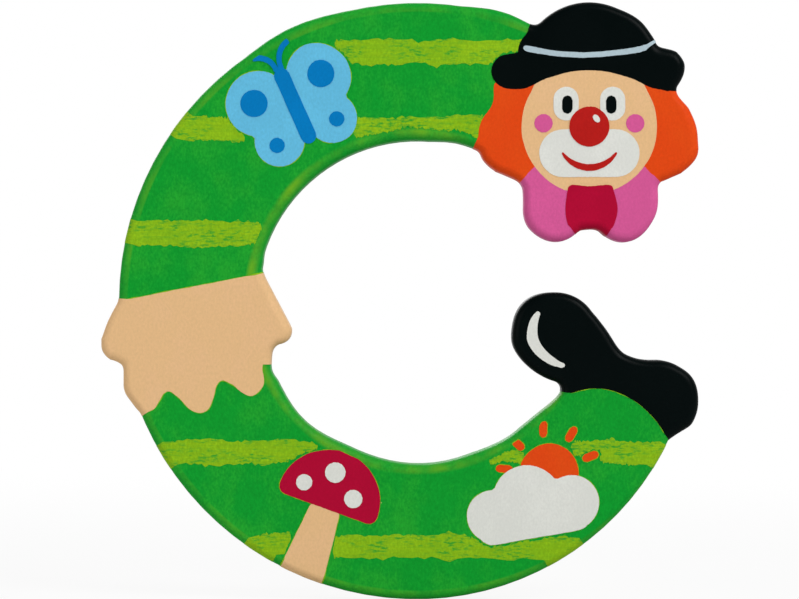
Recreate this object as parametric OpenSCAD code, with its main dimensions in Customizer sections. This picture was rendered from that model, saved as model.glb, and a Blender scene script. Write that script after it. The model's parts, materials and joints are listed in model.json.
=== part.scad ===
// Wooden letter C for a door or a wall: one routed three-ply board, its front
// painted field by field through masks, with foam tape on its bare back.
// Everything is drawn flat (x right, y up, z out of the front) round the
// middle of the ring, and stood upright by stand() at the end.

/* [Letter] */
// Height of the letter, which is the outer diameter of its ring
letter_h = 110; // [95:1:130]
// Width of the letter's stroke
stroke_w = 25.5; // [23.5:0.5:27.5]
// How much smaller the radius of the lower arm's outer edge is
arm_tuck = 3.7; // [0:0.1:5]
// Radius of the router bit, left in every inside corner
cutter_r = 1.5; // [0.8:0.1:2]

/* [Board] */
// Thickness of each of the two face plies
face_ply_t = 1.8; // [1.6:0.1:2.4]
// Thickness of the cross-grained core ply
core_ply_t = 4.4; // [3:0.2:6]
// Radius of the round-over on the front and back edges
edge_r = 1.4; // [0.8:0.1:1.5]

/* [Head] */
// Place of the head along the ring, in degrees above the middle
head_angle = 45.4; // [43:0.2:48]
// How far the middle of the face lies outside the middle of the stroke
head_out = 2.75; // [1.5:0.25:4]
// Radius of the face
face_r = 12.2; // [11.6:0.1:12.6]
// Width of the hat's brim
brim_w = 36; // [33:0.5:38]
// Thickness of the hat's brim
brim_t = 6.2; // [5:0.1:6.8]
// Width of the hat's dome
dome_w = 25.2; // [23:0.2:27]
// Height of the hat from the middle of the face
hat_top = 23; // [21:0.25:25]
// Width over the hair where it flares below the ears
hair_w = 40.4; // [38:0.2:42]
// Radius of the lobe that the hair flares to on each side
lobe_r = 5; // [4:0.1:5.6]
// Width of the bow tie
bow_w = 24.8; // [22:0.2:27]
// Height of the bow tie at its ends
bow_h = 12.2; // [11:0.1:13]
// Depth of the notch below the bow tie's knot
notch_d = 2; // [1.5:0.1:3]
// Radius of the nose
nose_r = 3.7; // [3:0.1:4.2]

/* [Hand] */
// Tilt of the wrist across the stroke, in degrees
wrist_tilt = 11; // [6:0.5:15]
// How far the hand bulges out past the ring
hand_out = 3.2; // [2:0.1:4.5]
// How far the hand bulges into the hollow
hand_in = 6.4; // [5:0.1:7.5]
// Radius of the knuckle on each side
knuckle_r = 2.4; // [1.8:0.1:2.8]
// How far the palm reaches down from the middle of the letter
palm_l = 14.7; // [13:0.1:16]
// How far the longest finger reaches down from the palm
finger_l = 5.8; // [5:0.1:7]
// Fingers laid side by side across the stroke
finger_count = 3; // [3:1:4]

/* [Shoe] */
// Place of the shoe along the ring, in degrees below the middle
shoe_angle = 19.7; // [17:0.1:22]
// How far the middle of the shoe lies inside the middle of the stroke
shoe_in = 5.3; // [4.5:0.1:6]
// Length of the shoe from toe to heel
shoe_l = 38; // [35:0.5:40]
// Radius of the toe cap
toe_r = 8.1; // [7.5:0.1:8.6]
// Radius of the heel
heel_r = 7.7; // [7:0.1:8.2]
// Radius of the hollow on each side of the shoe's waist
waist_r = 10.5; // [8:0.5:13]
// Radius of the painted line where the sole meets the stroke
sole_r = 16.3; // [15:0.1:17.5]

/* [Paint] */
// Thickness of one coat
coat_t = 0.1; // [0.06:0.01:0.15]
// Rim of ground coat left round the green, measured from the flat's edge
rim_w = 0.8; // [0.3:0.1:1.2]
// Gap that a mask leaves between the green and a field
mask_gap = 0.3; // [0.1:0.05:0.6]
// Height of one brushed stripe
stripe_h = 4.4; // [3:0.2:5.5]
// Wing span of the butterfly
butterfly_w = 24; // [20:0.5:25]
// Width of the toadstool's cap
cap_w = 19; // [16:0.5:20]
// Width of the cloud
cloud_w = 25; // [21:0.5:26]

/* [Tape] */
// Length of a strip of foam tape, along the stroke
tape_l = 26; // [18:1:30]
// Width of a strip of foam tape
tape_w = 12; // [9:0.5:14]
// Thickness of the foam
tape_t = 1.0; // [0.6:0.1:2]

/* [Hidden] */
$fa = 4;
$fs = 0.8;
ring_r = letter_h / 2;
hollow_r = ring_r - stroke_w;
mid_r = ring_r - stroke_w / 2;
board_t = core_ply_t + 2 * face_ply_t;
// Slices that step the round-over down from the flat to the side
edge_steps = 4;
// Smallest corner that a paint mask can be cut to
mask_r = 0.2;
// Heights of the five stripes as shares of the ring's radius
stripe_places = [0.83, 0.575, 0.227, -0.504, -0.818];

head_at = polar(mid_r + head_out, head_angle);
shoe_at = polar(mid_r - shoe_in, -shoe_angle);
// Line through toe and heel, turned down towards the heel
shoe_turn = -33;
shoe_half = (shoe_l - toe_r - heel_r) / 2;
heel_at = shoe_at + polar(shoe_half, shoe_turn);
finger_pitch = stroke_w * 1.16 / finger_count;
finger_r = finger_pitch * 0.4;
// Middle of the butterfly, where the top stripe starts
butterfly_at = polar(mid_r, 122);
// Angles round the cut that opens the ring between the shoe and the head
mouth_angles = [-shoe_angle - 8, 12, head_angle + 6.6];

function polar(r, a) = [r * cos(a), r * sin(a)];
// Point where a line from a corner touches a circle, on one side or the other
function touch(corner, centre, r, side) =
  let (d = corner - centre, a = atan2(d.y, d.x), h = acos(r / norm(d)))
    centre + polar(r, a + side * h);
// Heights of the sloping lines at x where the wrist starts and the fingers part
function wrist_y(x) = palm_l / 6 + (x + mid_r) * tan(wrist_tilt);
function root_y(x) = -palm_l + (x + mid_r) * tan(wrist_tilt * 0.6);

// Stands the flat drawing up against a wall at y = 0: its y becomes height, its
// front faces -y, and the tape behind the spine has the origin in its middle
module stand()
  translate([mid_r, -tape_t, 0])
    rotate([90, 0, 0])
      children();

module at_head() translate(head_at) children();

module both_sides() {
  children();
  mirror([1, 0]) children();
}

module pill(r, l) {
  square([2 * r, l], center = true);
  for (end = [-1, 1])
    translate([0, end * l / 2]) circle(r);
}

module soften(r) offset(r = r) offset(r = -r) children();

module fill_corners(r) offset(r = -r) offset(delta = r) children();

// The letter itself: a ring opened between the shoe and the head
module ring_shape() {
  difference() {
    circle(ring_r);
    circle(hollow_r);
    polygon([[0, 0], for (angle = mouth_angles) polar(2 * ring_r, angle)]);
    difference() {
      translate([0, -ring_r]) square(ring_r);
      translate([0, -arm_tuck]) circle(ring_r - arm_tuck);
    }
  }
}

// Head, drawn round the middle of the face
brim_bend_r = 2.5 * brim_w;
brim_y = hat_top - dome_w * 0.46;
band_bend_r = 1.5 * dome_w;
band_t = dome_w / 18;

module dome_shape()
  intersection() {
    translate([0, hat_top - dome_w / 2]) circle(dome_w / 2);
    translate([-dome_w, brim_y]) square([2 * dome_w, hat_top]);
  }

module brim_shape() {
  reach = (brim_w - brim_t) / 2;
  half_angle = asin(reach / brim_bend_r);
  translate([0, brim_y - brim_bend_r]) {
    intersection() {
      difference() {
        circle(brim_bend_r + brim_t / 2);
        circle(brim_bend_r - brim_t / 2);
      }
      polygon([
        [0, 0], polar(2 * brim_bend_r, 90 - half_angle),
        polar(2 * brim_bend_r, 90 + half_angle)
      ]);
    }
    both_sides() translate(polar(brim_bend_r, 90 - half_angle)) circle(brim_t / 2);
  }
}

module hat_shape() {
  dome_shape();
  brim_shape();
}

module band_shape()
  intersection() {
    dome_shape();
    translate([0, brim_y + brim_t * 0.36 + band_bend_r])
      difference() {
        circle(band_bend_r);
        circle(band_bend_r - band_t);
      }
  }

// The hair falls from under the brim, flares to a lobe on each side and tucks in
// to the top corner of the bow tie
module hair_shape() {
  temple = [brim_w / 2 - brim_t / 6, brim_y - brim_t / 2];
  lobe_at = [hair_w / 2 - lobe_r, -0.36 * face_r];
  neck = [bow_w / 2, bow_y + bow_h * 0.36];
  jaw = polar(face_r - mask_gap, -37);
  both_sides() {
    translate(lobe_at) circle(lobe_r);
    polygon([
      [0, brim_y], [temple.x, brim_y], temple, touch(temple, lobe_at, lobe_r, -1),
      lobe_at, touch(neck, lobe_at, lobe_r, 1), neck, jaw, [0, jaw.y]
    ]);
  }
}

module face_shape() circle(face_r);

module eye_patch_shape(side) translate([side * 0.35, 0.345] * face_r) pill(0.19 * face_r, 0.13 * face_r);
module eye_shape(side) translate([side * 0.33, 0.33] * face_r) pill(0.078 * face_r, 0.12 * face_r);
module cheek_shape(side) translate([side * 0.69, 0.05] * face_r) circle(0.14 * face_r);
module nose_shape() circle(nose_r);

module muzzle_shape() {
  translate([0, -0.4 * face_r]) rotate(90) pill(0.36 * face_r, 0.79 * face_r);
  nose_shape();
}

module smile_shape()
  soften(mask_r)
    difference() {
      translate([0, -0.21 * face_r]) circle(0.46 * face_r);
      translate([0, -0.05 * face_r]) circle(0.515 * face_r);
    }

// Bow tie: two round lobes, with a notch between them under the knot
bow_y = -face_r - 0.2 * bow_h;

module bow_shape()
  translate([0, bow_y])
    both_sides() {
      translate([(bow_w - bow_h) / 2, 0]) circle(bow_h / 2);
      square([bow_w / 2, bow_h * 0.64]);
      translate([0, notch_d - bow_h / 2]) square([(bow_w - bow_h) / 2, bow_h]);
    }

module knot_shape()
  translate([0, bow_y])
    soften(bow_w * 0.09)
      square([bow_w * 0.34, 1.1 * bow_h - 2 * notch_d], center = true);

// Hand laid across the stroke, as wide as the stroke and a bulge on each side
wrist_out = [-ring_r, wrist_y(-ring_r)];
wrist_in = [-hollow_r + hand_in / 6, wrist_y(-hollow_r + hand_in / 6)];

module palm_shape() {
  out_at = [-ring_r - hand_out + knuckle_r, -0.51 * palm_l];
  in_at = [-hollow_r + hand_in - knuckle_r, -0.38 * palm_l];
  translate(out_at) circle(knuckle_r);
  translate(in_at) circle(knuckle_r);
  polygon([
    wrist_out, touch(wrist_out, out_at, knuckle_r, 1), out_at,
    [-mid_r, -0.82 * palm_l], in_at, touch(wrist_in, in_at, knuckle_r, -1), wrist_in
  ]);
}

// The fingers hang side by side from the palm, the middle one longest
module fingers_shape()
  for (i = [0 : finger_count - 1])
    let (
      from_middle = i - (finger_count - 1) / 2,
      x = -mid_r + finger_r / 2 + finger_pitch * from_middle,
      reach = finger_l - finger_r - 0.1 * finger_l * abs(from_middle)
    )
      translate([x, root_y(x) - reach]) {
        circle(finger_r);
        translate([-finger_r, 0]) square([2 * finger_r, palm_l / 2]);
      }

module hand_shape() {
  root_out = -ring_r + stroke_w / 8;
  root_in = -hollow_r - stroke_w / 25;
  fill_corners(finger_pitch * 0.09) {
    palm_shape();
    fingers_shape();
    polygon([wrist_out, [root_out, root_y(root_out)], [root_in, root_y(root_in)], wrist_in]);
  }
}

module shoe_shape()
  fill_corners(waist_r) {
    translate(shoe_at - polar(shoe_half, shoe_turn)) circle(toe_r);
    translate(heel_at) circle(heel_r);
  }

// Paint of the shoe: all of the arm's end as far as the curved line of the sole
module shoe_field()
  difference() {
    polygon([[0, 0], polar(2 * ring_r, -shoe_angle - 12), polar(2 * ring_r, 10)]);
    translate(polar(mid_r + sole_r / 7, -shoe_angle - 26.2)) circle(sole_r);
  }

// Crescent of light on the toe cap
module glint_shape()
  translate(shoe_at - polar(shoe_half, shoe_turn))
    soften(0.35)
      difference() {
        circle(toe_r * 0.66);
        translate([toe_r * 0.34, toe_r * 0.12]) circle(toe_r * 0.76);
      }

// Butterfly, toadstool and sun with a cloud, each drawn round its own middle
// and sized by its own width
module at_butterfly() translate(butterfly_at) rotate(24) children();
module at_toadstool() translate(polar(mid_r - cap_w / 9, 246)) rotate(-20) children();
module at_cloud() translate(polar(mid_r + cloud_w / 28, 299)) rotate(10) children();

module wings_shape()
  fill_corners(0.6)
    scale(butterfly_w)
      both_sides() {
        translate([0.25, 0.13]) circle(0.25, $fn = 60);
        translate([0.22, -0.2]) circle(0.19, $fn = 48);
        translate([0, -0.22]) square([0.25, 0.35]);
      }

module spots_shape()
  both_sides() {
    translate([0.28, 0.145] * butterfly_w) circle(0.105 * butterfly_w);
    translate([0.25, -0.22] * butterfly_w) circle(0.06 * butterfly_w);
  }

module body_shape() {
  pill(0.06 * butterfly_w, 0.5 * butterfly_w);
  both_sides()
    intersection() {
      translate([0.17, 0.31] * butterfly_w)
        difference() {
          circle(0.17 * butterfly_w);
          circle(0.13 * butterfly_w);
        }
      translate([0, 0.3] * butterfly_w) square([0.16, 0.2] * butterfly_w);
    }
}

module cap_shape()
  soften(0.08 * cap_w)
    intersection() {
      circle(cap_w / 2);
      translate([-cap_w, -0.08 * cap_w]) square(2 * cap_w);
    }

module cap_spots_shape() {
  translate([-0.03, 0.28] * cap_w) circle(0.1 * cap_w);
  translate([-0.28, 0.09] * cap_w) circle(0.08 * cap_w);
  translate([0.22, 0.1] * cap_w) circle(0.09 * cap_w);
}

// The stem runs off the letter's edge
module stem_shape()
  polygon([[-0.14, 0], [0.14, 0], [0.23, -0.85], [-0.23, -0.85]] * cap_w);

module cloud_shape()
  fill_corners(0.6) {
    translate([-0.29, -0.02] * cloud_w) circle(0.19 * cloud_w);
    translate([-0.02, 0.06] * cloud_w) circle(0.25 * cloud_w);
    translate([0.3, -0.02] * cloud_w) circle(0.2 * cloud_w);
    translate([0, -0.12 * cloud_w]) rotate(90) pill(0.11 * cloud_w, 0.62 * cloud_w);
  }

module sun_shape()
  translate([0.17, 0.22] * cloud_w) {
    circle(0.22 * cloud_w);
    for (ray = [12 : 38 : 164])
      rotate(ray) translate([0.33 * cloud_w, 0]) rotate(90) pill(0.03 * cloud_w, 0.07 * cloud_w);
  }

// Outline that the router follows, and the flat left inside its round-over
module board_shape()
  fill_corners(cutter_r) {
    ring_shape();
    at_head() {
      hat_shape();
      hair_shape();
      face_shape();
      bow_shape();
    }
    hand_shape();
    shoe_shape();
  }

module flat_shape() offset(delta = -edge_r) board_shape();

// A face ply: a straight side, then slices that step in round the quarter-round
module face_ply() {
  side_t = face_ply_t - edge_r;
  linear_extrude(side_t) board_shape();
  for (step = [0 : edge_steps - 1])
    let (low = 90 * step / edge_steps, high = 90 * (step + 1) / edge_steps)
      translate([0, 0, side_t + edge_r * sin(low)])
        linear_extrude(edge_r * (sin(high) - sin(low)))
          offset(delta = -edge_r * (1 - cos((low + high) / 2))) board_shape();
}

// One coat through one mask, kept to the flat, at its level in the stack
module coat(level)
  translate([0, 0, board_t + level * coat_t])
    linear_extrude(coat_t)
      soften(mask_r)
        intersection() {
          flat_shape();
          children();
        }

module painted_fields() {
  at_head() {
    hat_shape();
    hair_shape();
    face_shape();
    bow_shape();
  }
  hand_shape();
  shoe_field();
  at_butterfly() wings_shape();
  at_toadstool() {
    cap_shape();
    stem_shape();
  }
  at_cloud() {
    cloud_shape();
    sun_shape();
  }
}

module green_field()
  difference() {
    offset(delta = -rim_w) flat_shape();
    offset(delta = mask_gap) painted_fields();
  }

// A brushed stripe straight across the letter, clear of edges and fields, which may
// start at some place across instead of at the edge
module stripe(place, start = -ring_r)
  coat(2)
    soften(stripe_h / 6)
      difference() {
        intersection() {
          green_field();
          ring_shape();
          translate([start, place * ring_r - stripe_h / 2]) square([letter_h, stripe_h]);
        }
        offset(delta = rim_w) at_butterfly() body_shape();
      }

// Strips of tape run along the stroke, each turned to its place on the ring
module tape_place(angle) rotate(angle) translate([mid_r, 0]) children();

module tape(angle)
  translate([0, 0, -tape_t])
    linear_extrude(tape_t)
      tape_place(angle) square([tape_w, tape_l], center = true);

top_angle = 104;
spine_angle = 180;
bottom_angle = 256;

birch = [0.82, 0.68, 0.47];
lime = [0.54, 0.71, 0.10];
green = [0.07, 0.59, 0.17];
black = [0.02, 0.05, 0.05];
pale = [0.76, 0.82, 0.86];
orange = [0.86, 0.30, 0.08];
skin = [0.87, 0.71, 0.51];
white = [0.83, 0.84, 0.81];
red = [0.72, 0.12, 0.10];
pink = [0.82, 0.35, 0.57];
crimson = [0.64, 0.06, 0.20];
sky = [0.37, 0.70, 0.88];
blue = [0.01, 0.46, 0.72];
foam = [0.93, 0.93, 0.90];

module front_ply()
  color(birch) stand() translate([0, 0, board_t - face_ply_t]) face_ply();

module core_ply()
  color(birch) stand() translate([0, 0, face_ply_t]) linear_extrude(core_ply_t) board_shape();

module back_ply()
  color(birch) stand() translate([0, 0, face_ply_t]) mirror([0, 0, 1]) face_ply();

module ground_coat()
  color(lime) stand() coat(0) flat_shape();

module green_coat()
  color(green) stand() coat(1) green_field();

module stripe_1() color(lime) stand() stripe(stripe_places[0], butterfly_at.x);
module stripe_2() color(lime) stand() stripe(stripe_places[1]);
module stripe_3() color(lime) stand() stripe(stripe_places[2]);
module stripe_4() color(lime) stand() stripe(stripe_places[3]);
module stripe_5() color(lime) stand() stripe(stripe_places[4]);

module hat_coat()
  color(black) stand() coat(1) at_head() hat_shape();

module hat_band()
  color(pale) stand() coat(2) at_head() band_shape();

module hair_coat()
  color(orange) stand() coat(1)
    at_head()
      difference() {
        hair_shape();
        hat_shape();
        face_shape();
      }

module face_coat()
  color(skin) stand() coat(1)
    at_head()
      difference() {
        face_shape();
        hat_shape();
      }

module muzzle_coat() color(white) stand() coat(2) at_head() muzzle_shape();
module eye_patch_left() color(white) stand() coat(2) at_head() eye_patch_shape(-1);
module eye_patch_right() color(white) stand() coat(2) at_head() eye_patch_shape(1);
module eye_left() color(black) stand() coat(3) at_head() eye_shape(-1);
module eye_right() color(black) stand() coat(3) at_head() eye_shape(1);
module cheek_left() color(pink) stand() coat(2) at_head() cheek_shape(-1);
module cheek_right() color(pink) stand() coat(2) at_head() cheek_shape(1);
module smile_coat() color(red) stand() coat(3) at_head() smile_shape();
module nose_coat() color(red) stand() coat(3) at_head() nose_shape();

module nose_glint()
  color(white) stand() coat(4)
    at_head() translate([0.35, 0.4] * nose_r) rotate(40) pill(0.14 * nose_r, 0.2 * nose_r);

module bow_coat()
  color(pink) stand() coat(1)
    at_head()
      difference() {
        bow_shape();
        face_shape();
        hair_shape();
      }

module bow_knot() color(crimson) stand() coat(2) at_head() knot_shape();

module hand_coat() color(skin) stand() coat(1) hand_shape();

module shoe_coat() color(black) stand() coat(1) shoe_field();
module shoe_glint() color(white) stand() coat(2) glint_shape();

module butterfly_wings() color(sky) stand() coat(1) at_butterfly() wings_shape();
module butterfly_spots() color(blue) stand() coat(2) at_butterfly() spots_shape();
module butterfly_body() color(blue) stand() coat(2) at_butterfly() body_shape();

module toadstool_cap() color(crimson) stand() coat(1) at_toadstool() cap_shape();
module toadstool_spots() color(white) stand() coat(2) at_toadstool() cap_spots_shape();

module toadstool_stem()
  color(skin) stand() coat(1)
    at_toadstool()
      difference() {
        stem_shape();
        cap_shape();
      }

module sun_coat()
  color(orange) stand() coat(1)
    at_cloud()
      difference() {
        sun_shape();
        cloud_shape();
      }

module cloud_coat() color(white) stand() coat(1) at_cloud() cloud_shape();

module tape_top() color(foam) stand() tape(top_angle);
module tape_spine() color(foam) stand() tape(spine_angle);
module tape_bottom() color(foam) stand() tape(bottom_angle);

front_ply();
core_ply();
back_ply();
ground_coat();
green_coat();
stripe_1();
stripe_2();
stripe_3();
stripe_4();
stripe_5();
hat_coat();
hat_band();
hair_coat();
face_coat();
muzzle_coat();
eye_patch_left();
eye_patch_right();
eye_left();
eye_right();
cheek_left();
cheek_right();
smile_coat();
nose_coat();
nose_glint();
bow_coat();
bow_knot();
hand_coat();
shoe_coat();
shoe_glint();
butterfly_wings();
butterfly_spots();
butterfly_body();
toadstool_cap();
toadstool_spots();
toadstool_stem();
sun_coat();
cloud_coat();
tape_top();
tape_spine();
tape_bottom();
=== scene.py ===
# %% [markdown]
# # A painted wooden letter
# The real thing is a letter C routed from three-ply board, about as tall as a hand. Its edges are rounded
# over, and its front and sides are painted field by field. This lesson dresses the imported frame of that
# letter: it makes the board, wraps thin coats of paint over its rounded edge, lays the small details on top
# and lights it as a plain studio picture.

import json
import math

import bpy
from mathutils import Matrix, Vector, noise
from mathutils.geometry import interpolate_bezier
from mathutils.kdtree import KDTree


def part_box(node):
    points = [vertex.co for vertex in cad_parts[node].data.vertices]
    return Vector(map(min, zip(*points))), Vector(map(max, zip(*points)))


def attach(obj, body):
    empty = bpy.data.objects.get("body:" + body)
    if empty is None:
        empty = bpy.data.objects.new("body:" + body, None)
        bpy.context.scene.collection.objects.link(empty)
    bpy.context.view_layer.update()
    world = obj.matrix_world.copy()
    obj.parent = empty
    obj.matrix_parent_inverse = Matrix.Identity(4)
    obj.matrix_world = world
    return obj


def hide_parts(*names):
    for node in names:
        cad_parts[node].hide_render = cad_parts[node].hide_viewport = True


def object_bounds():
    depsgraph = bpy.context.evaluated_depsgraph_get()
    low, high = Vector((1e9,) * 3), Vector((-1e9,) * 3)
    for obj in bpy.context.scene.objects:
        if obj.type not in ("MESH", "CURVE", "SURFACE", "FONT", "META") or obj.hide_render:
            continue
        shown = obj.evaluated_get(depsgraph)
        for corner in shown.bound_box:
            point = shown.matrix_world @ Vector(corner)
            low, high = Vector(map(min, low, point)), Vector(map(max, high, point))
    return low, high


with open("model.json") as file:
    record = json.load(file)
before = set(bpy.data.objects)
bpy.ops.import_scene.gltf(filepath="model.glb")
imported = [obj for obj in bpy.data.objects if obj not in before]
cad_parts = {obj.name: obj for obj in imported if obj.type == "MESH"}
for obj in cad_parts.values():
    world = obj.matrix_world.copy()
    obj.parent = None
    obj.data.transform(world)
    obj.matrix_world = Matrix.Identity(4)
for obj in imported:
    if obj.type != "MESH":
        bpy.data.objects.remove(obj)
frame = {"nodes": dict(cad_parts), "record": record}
cad_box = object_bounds()
MM = 0.001
print("CAD box in mm:", [[round(value / MM, 2) for value in corner] for corner in cad_box])

# %% [markdown]
# ## Helpers for working as by hand
# Operators act on whatever is selected, so each step first picks one object and then selects by place or
# normal. These few helpers keep the later cells short.

# %% Helpers: picking, selecting and applying
SELECT_MODES = {
    "vertices": (True, False, False),
    "edges": (False, True, False),
    "polygons": (False, False, True),
}


def pick(piece):
    """Makes a piece the active object and the only selected one."""
    bpy.ops.object.select_all(action="DESELECT")
    piece.select_set(True)
    bpy.context.view_layer.objects.active = piece


def edit(piece, domain, test):
    """Goes into edit mode on a piece with only the parts selected that pass a test."""
    pick(piece)
    mesh = piece.data
    for parts in (mesh.vertices, mesh.edges, mesh.polygons):
        parts.foreach_set("select", [False] * len(parts))
    chosen = getattr(mesh, domain)
    chosen.foreach_set("select", [bool(test(part)) for part in chosen])
    bpy.context.tool_settings.mesh_select_mode = SELECT_MODES[domain]
    bpy.ops.object.mode_set(mode="EDIT")


def leave_edit():
    """Goes back to object mode."""
    bpy.ops.object.mode_set(mode="OBJECT")


def everything(part):
    """A test that every vertex, edge or face passes."""
    return True


def apply_modifier(piece, kind, **settings):
    """Adds a modifier with its settings and applies it at once."""
    pick(piece)
    modifier = piece.modifiers.new(kind.title(), kind)
    for name, value in settings.items():
        setattr(modifier, name, value)
    bpy.ops.object.modifier_apply(modifier=modifier.name)


def duplicate(piece, name):
    """A copy of a piece with its own mesh."""
    pick(piece)
    bpy.ops.object.duplicate()
    copy = bpy.context.object
    copy.name = name
    copy.data.name = name
    return copy


# %% [markdown]
# ## Outlines from the frame
# Each CAD node is a flat solid of loose triangles. A copy of one is merged, cut down to its front face and
# dissolved to a plain outline. Its straight facets are then rounded as a spline would be: every edge is split
# in the middle and every point moves half-way towards its neighbours, twice over.

# %% Helpers: outline of a node
MERGE_DISTANCE = 0.001 * MM
SHORTEST_EDGE = 0.05 * MM
FACES_FRONT = 0.9
LEVEL_SLACK = 0.01 * MM
HALVINGS = 3
ROUNDINGS = 2
HALF_WAY = 0.5


def front_outline(node, name):
    """The front face of a CAD node as one flat face for each of its solids."""
    source = frame["nodes"][node]
    outline = bpy.data.objects.new(name, source.data.copy())
    outline.data.materials.clear()
    bpy.context.scene.collection.objects.link(outline)
    edit(outline, "vertices", everything)
    bpy.ops.mesh.remove_doubles(threshold=MERGE_DISTANCE)
    leave_edit()
    front_limit = min(vertex.co.y for vertex in outline.data.vertices) + LEVEL_SLACK
    edit(outline, "polygons", lambda face: face.normal.y > -FACES_FRONT or face.center.y > front_limit)
    bpy.ops.mesh.delete(type="FACE")
    bpy.ops.mesh.select_all(action="SELECT")
    bpy.ops.mesh.dissolve_faces()
    bpy.ops.mesh.remove_doubles(threshold=SHORTEST_EDGE)
    leave_edit()
    return outline


def edge_length(outline, edge):
    """Length of one edge of an outline."""
    start, end = (outline.data.vertices[index].co for index in edge.vertices)
    return (end - start).length


def round_facets(outline, longest):
    """Splits edges over a length, then rounds an outline's facets as a spline does."""
    for halving in range(HALVINGS):
        edit(outline, "edges", lambda edge: edge_length(outline, edge) > longest)
        bpy.ops.mesh.subdivide(number_cuts=1)
        leave_edit()
    for rounding in range(ROUNDINGS):
        edit(outline, "edges", everything)
        bpy.ops.mesh.subdivide(number_cuts=1)
        bpy.ops.mesh.select_all(action="SELECT")
        bpy.ops.mesh.vertices_smooth(factor=HALF_WAY)
        leave_edit()


def outward(corners, index):
    """Direction in the wall's plane that leaves an outline at one of its corners."""
    tangent = corners[(index + 1) % len(corners)] - corners[index - 1]
    return Vector((tangent.z, 0, -tangent.x)).normalized()


def corners_of(outline, face):
    """The corners of one flat face in order, and which side of the face's edge is outside."""
    corners = [outline.data.vertices[index].co.copy() for index in face.vertices]
    area = sum(a.x * b.z - b.x * a.z for a, b in zip(corners, corners[1:] + corners[:1]))
    return corners, math.copysign(1, area)


def grow(outline, distance):
    """Moves an outline outwards, or inwards by a negative distance."""
    for face in outline.data.polygons:
        corners, side = corners_of(outline, face)
        for place, index in enumerate(face.vertices):
            outline.data.vertices[index].co += side * distance * outward(corners, place)


# %% [markdown]
# ## The board
# The real board is cut with a router bit and its front and back edges get a quarter-round. Here the middle
# ply's outline is extruded to the full thickness and both rims are bevelled. The board is drawn in by the
# thickness of its paint on the sides, so that the painted letter keeps the size of the frame. On the tightest
# bends the bevel folds over itself, so points of the flat's edge that lie almost on each other are merged,
# and then the points of faces that are turned over, in four passes.

# %% Sizes of board and paint, from the frame
FRONT_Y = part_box("front_ply")[0].y
BACK_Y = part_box("back_ply")[1].y
EDGE_R = 1.4 * MM
COAT_T = 0.06 * MM
SIDE_COATS = 4
SIDE_PAINT_T = SIDE_COATS * COAT_T
core_low, core_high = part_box("core_ply")
RING_R = (core_high.z - core_low.z) / 2
STROKE_W = 25.5 * MM
HOLLOW_R = RING_R - STROKE_W
RING_X = RING_R - STROKE_W / 2
FLAT_IN_R = HOLLOW_R + EDGE_R + SIDE_PAINT_T
print("board from", round(BACK_Y / MM, 2), "to", round(FRONT_Y / MM, 2), "mm")
print("ring radius", round(RING_R / MM, 2), "hollow radius", round(HOLLOW_R / MM, 2), "mm")

# %% The board, extruded from its outline
BOARD_STEP = 1.6 * MM


def tree_of(points):
    """A tree that finds the nearest of some points."""
    tree = KDTree(len(points))
    for place, point in enumerate(points):
        tree.insert(point, place)
    tree.balance()
    return tree


def extrude_back(distance):
    """Extrudes what is selected towards the wall."""
    bpy.ops.mesh.extrude_region_move(TRANSFORM_OT_translate={"value": (0, distance, 0)})


board = front_outline("core_ply", "letter_board")
round_facets(board, longest=BOARD_STEP)
rim_points, rim_side = corners_of(board, board.data.polygons[0])
rim_normals = [rim_side * outward(rim_points, place) for place in range(len(rim_points))]
rim_tree = tree_of([Vector((point.x, 0, point.z)) for point in rim_points])
grow(board, -SIDE_PAINT_T)
for vertex in board.data.vertices:
    vertex.co.y = FRONT_Y
edit(board, "polygons", everything)
extrude_back(BACK_Y - FRONT_Y)
bpy.ops.mesh.select_all(action="SELECT")
bpy.ops.mesh.normals_make_consistent(inside=False)
leave_edit()
print("board:", len(rim_points), "points round its outline")

# %% Its rounded edges
LEVEL_EDGE = 0.1 * MM
EDGE_SEGMENTS = 6
ROUND_PROFILE = 0.5
FOLD_SIZE = 0.15 * MM


def lies_flat(edge):
    """Whether an edge of the board lies in its front or its back."""
    start, end = (board.data.vertices[index].co for index in edge.vertices)
    return abs(start.y - end.y) < LEVEL_EDGE


def on_flat(vertex):
    """Whether a point of the board lies in its flat front or its flat back."""
    return min(abs(vertex.co.y - FRONT_Y), abs(vertex.co.y - BACK_Y)) < LEVEL_SLACK


edit(board, "edges", lies_flat)
bpy.ops.mesh.bevel(
    offset=EDGE_R, segments=EDGE_SEGMENTS, profile=ROUND_PROFILE, affect="EDGES", clamp_overlap=False)
leave_edit()
edit(board, "vertices", on_flat)
bpy.ops.mesh.remove_doubles(threshold=FOLD_SIZE)
leave_edit()
print("rounded board:", len(board.data.polygons), "faces")

# %% Its tight bends, unfolded
UNFOLD_SIZE = 0.3 * MM
UNFOLD_PASSES = 4
TURN_LIMIT = 0.02


def turned_over(face):
    """Whether a face points into the board, as the round-over does where a tight bend folds it."""
    outwards = math.copysign(1, face.center.y - (FRONT_Y + BACK_Y) / 2)
    return outwards * face.normal.y < -TURN_LIMIT


for unfolding in range(UNFOLD_PASSES):
    edit(board, "polygons", turned_over)
    bpy.ops.mesh.remove_doubles(threshold=UNFOLD_SIZE)
    leave_edit()
print("faces turned over:", sum(turned_over(face) for face in board.data.polygons))

# %% The edge of its flat front
FLAT_NORMAL = 0.999


def on_front(face):
    """Whether a face lies in the flat front."""
    return face.normal.y < -FLAT_NORMAL


flat_face = max(filter(on_front, board.data.polygons), key=lambda face: face.area)
flat_points = corners_of(board, flat_face)[0]
flat_tree = tree_of(flat_points)
print("flat front:", len(flat_points), "points round its edge")

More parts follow.
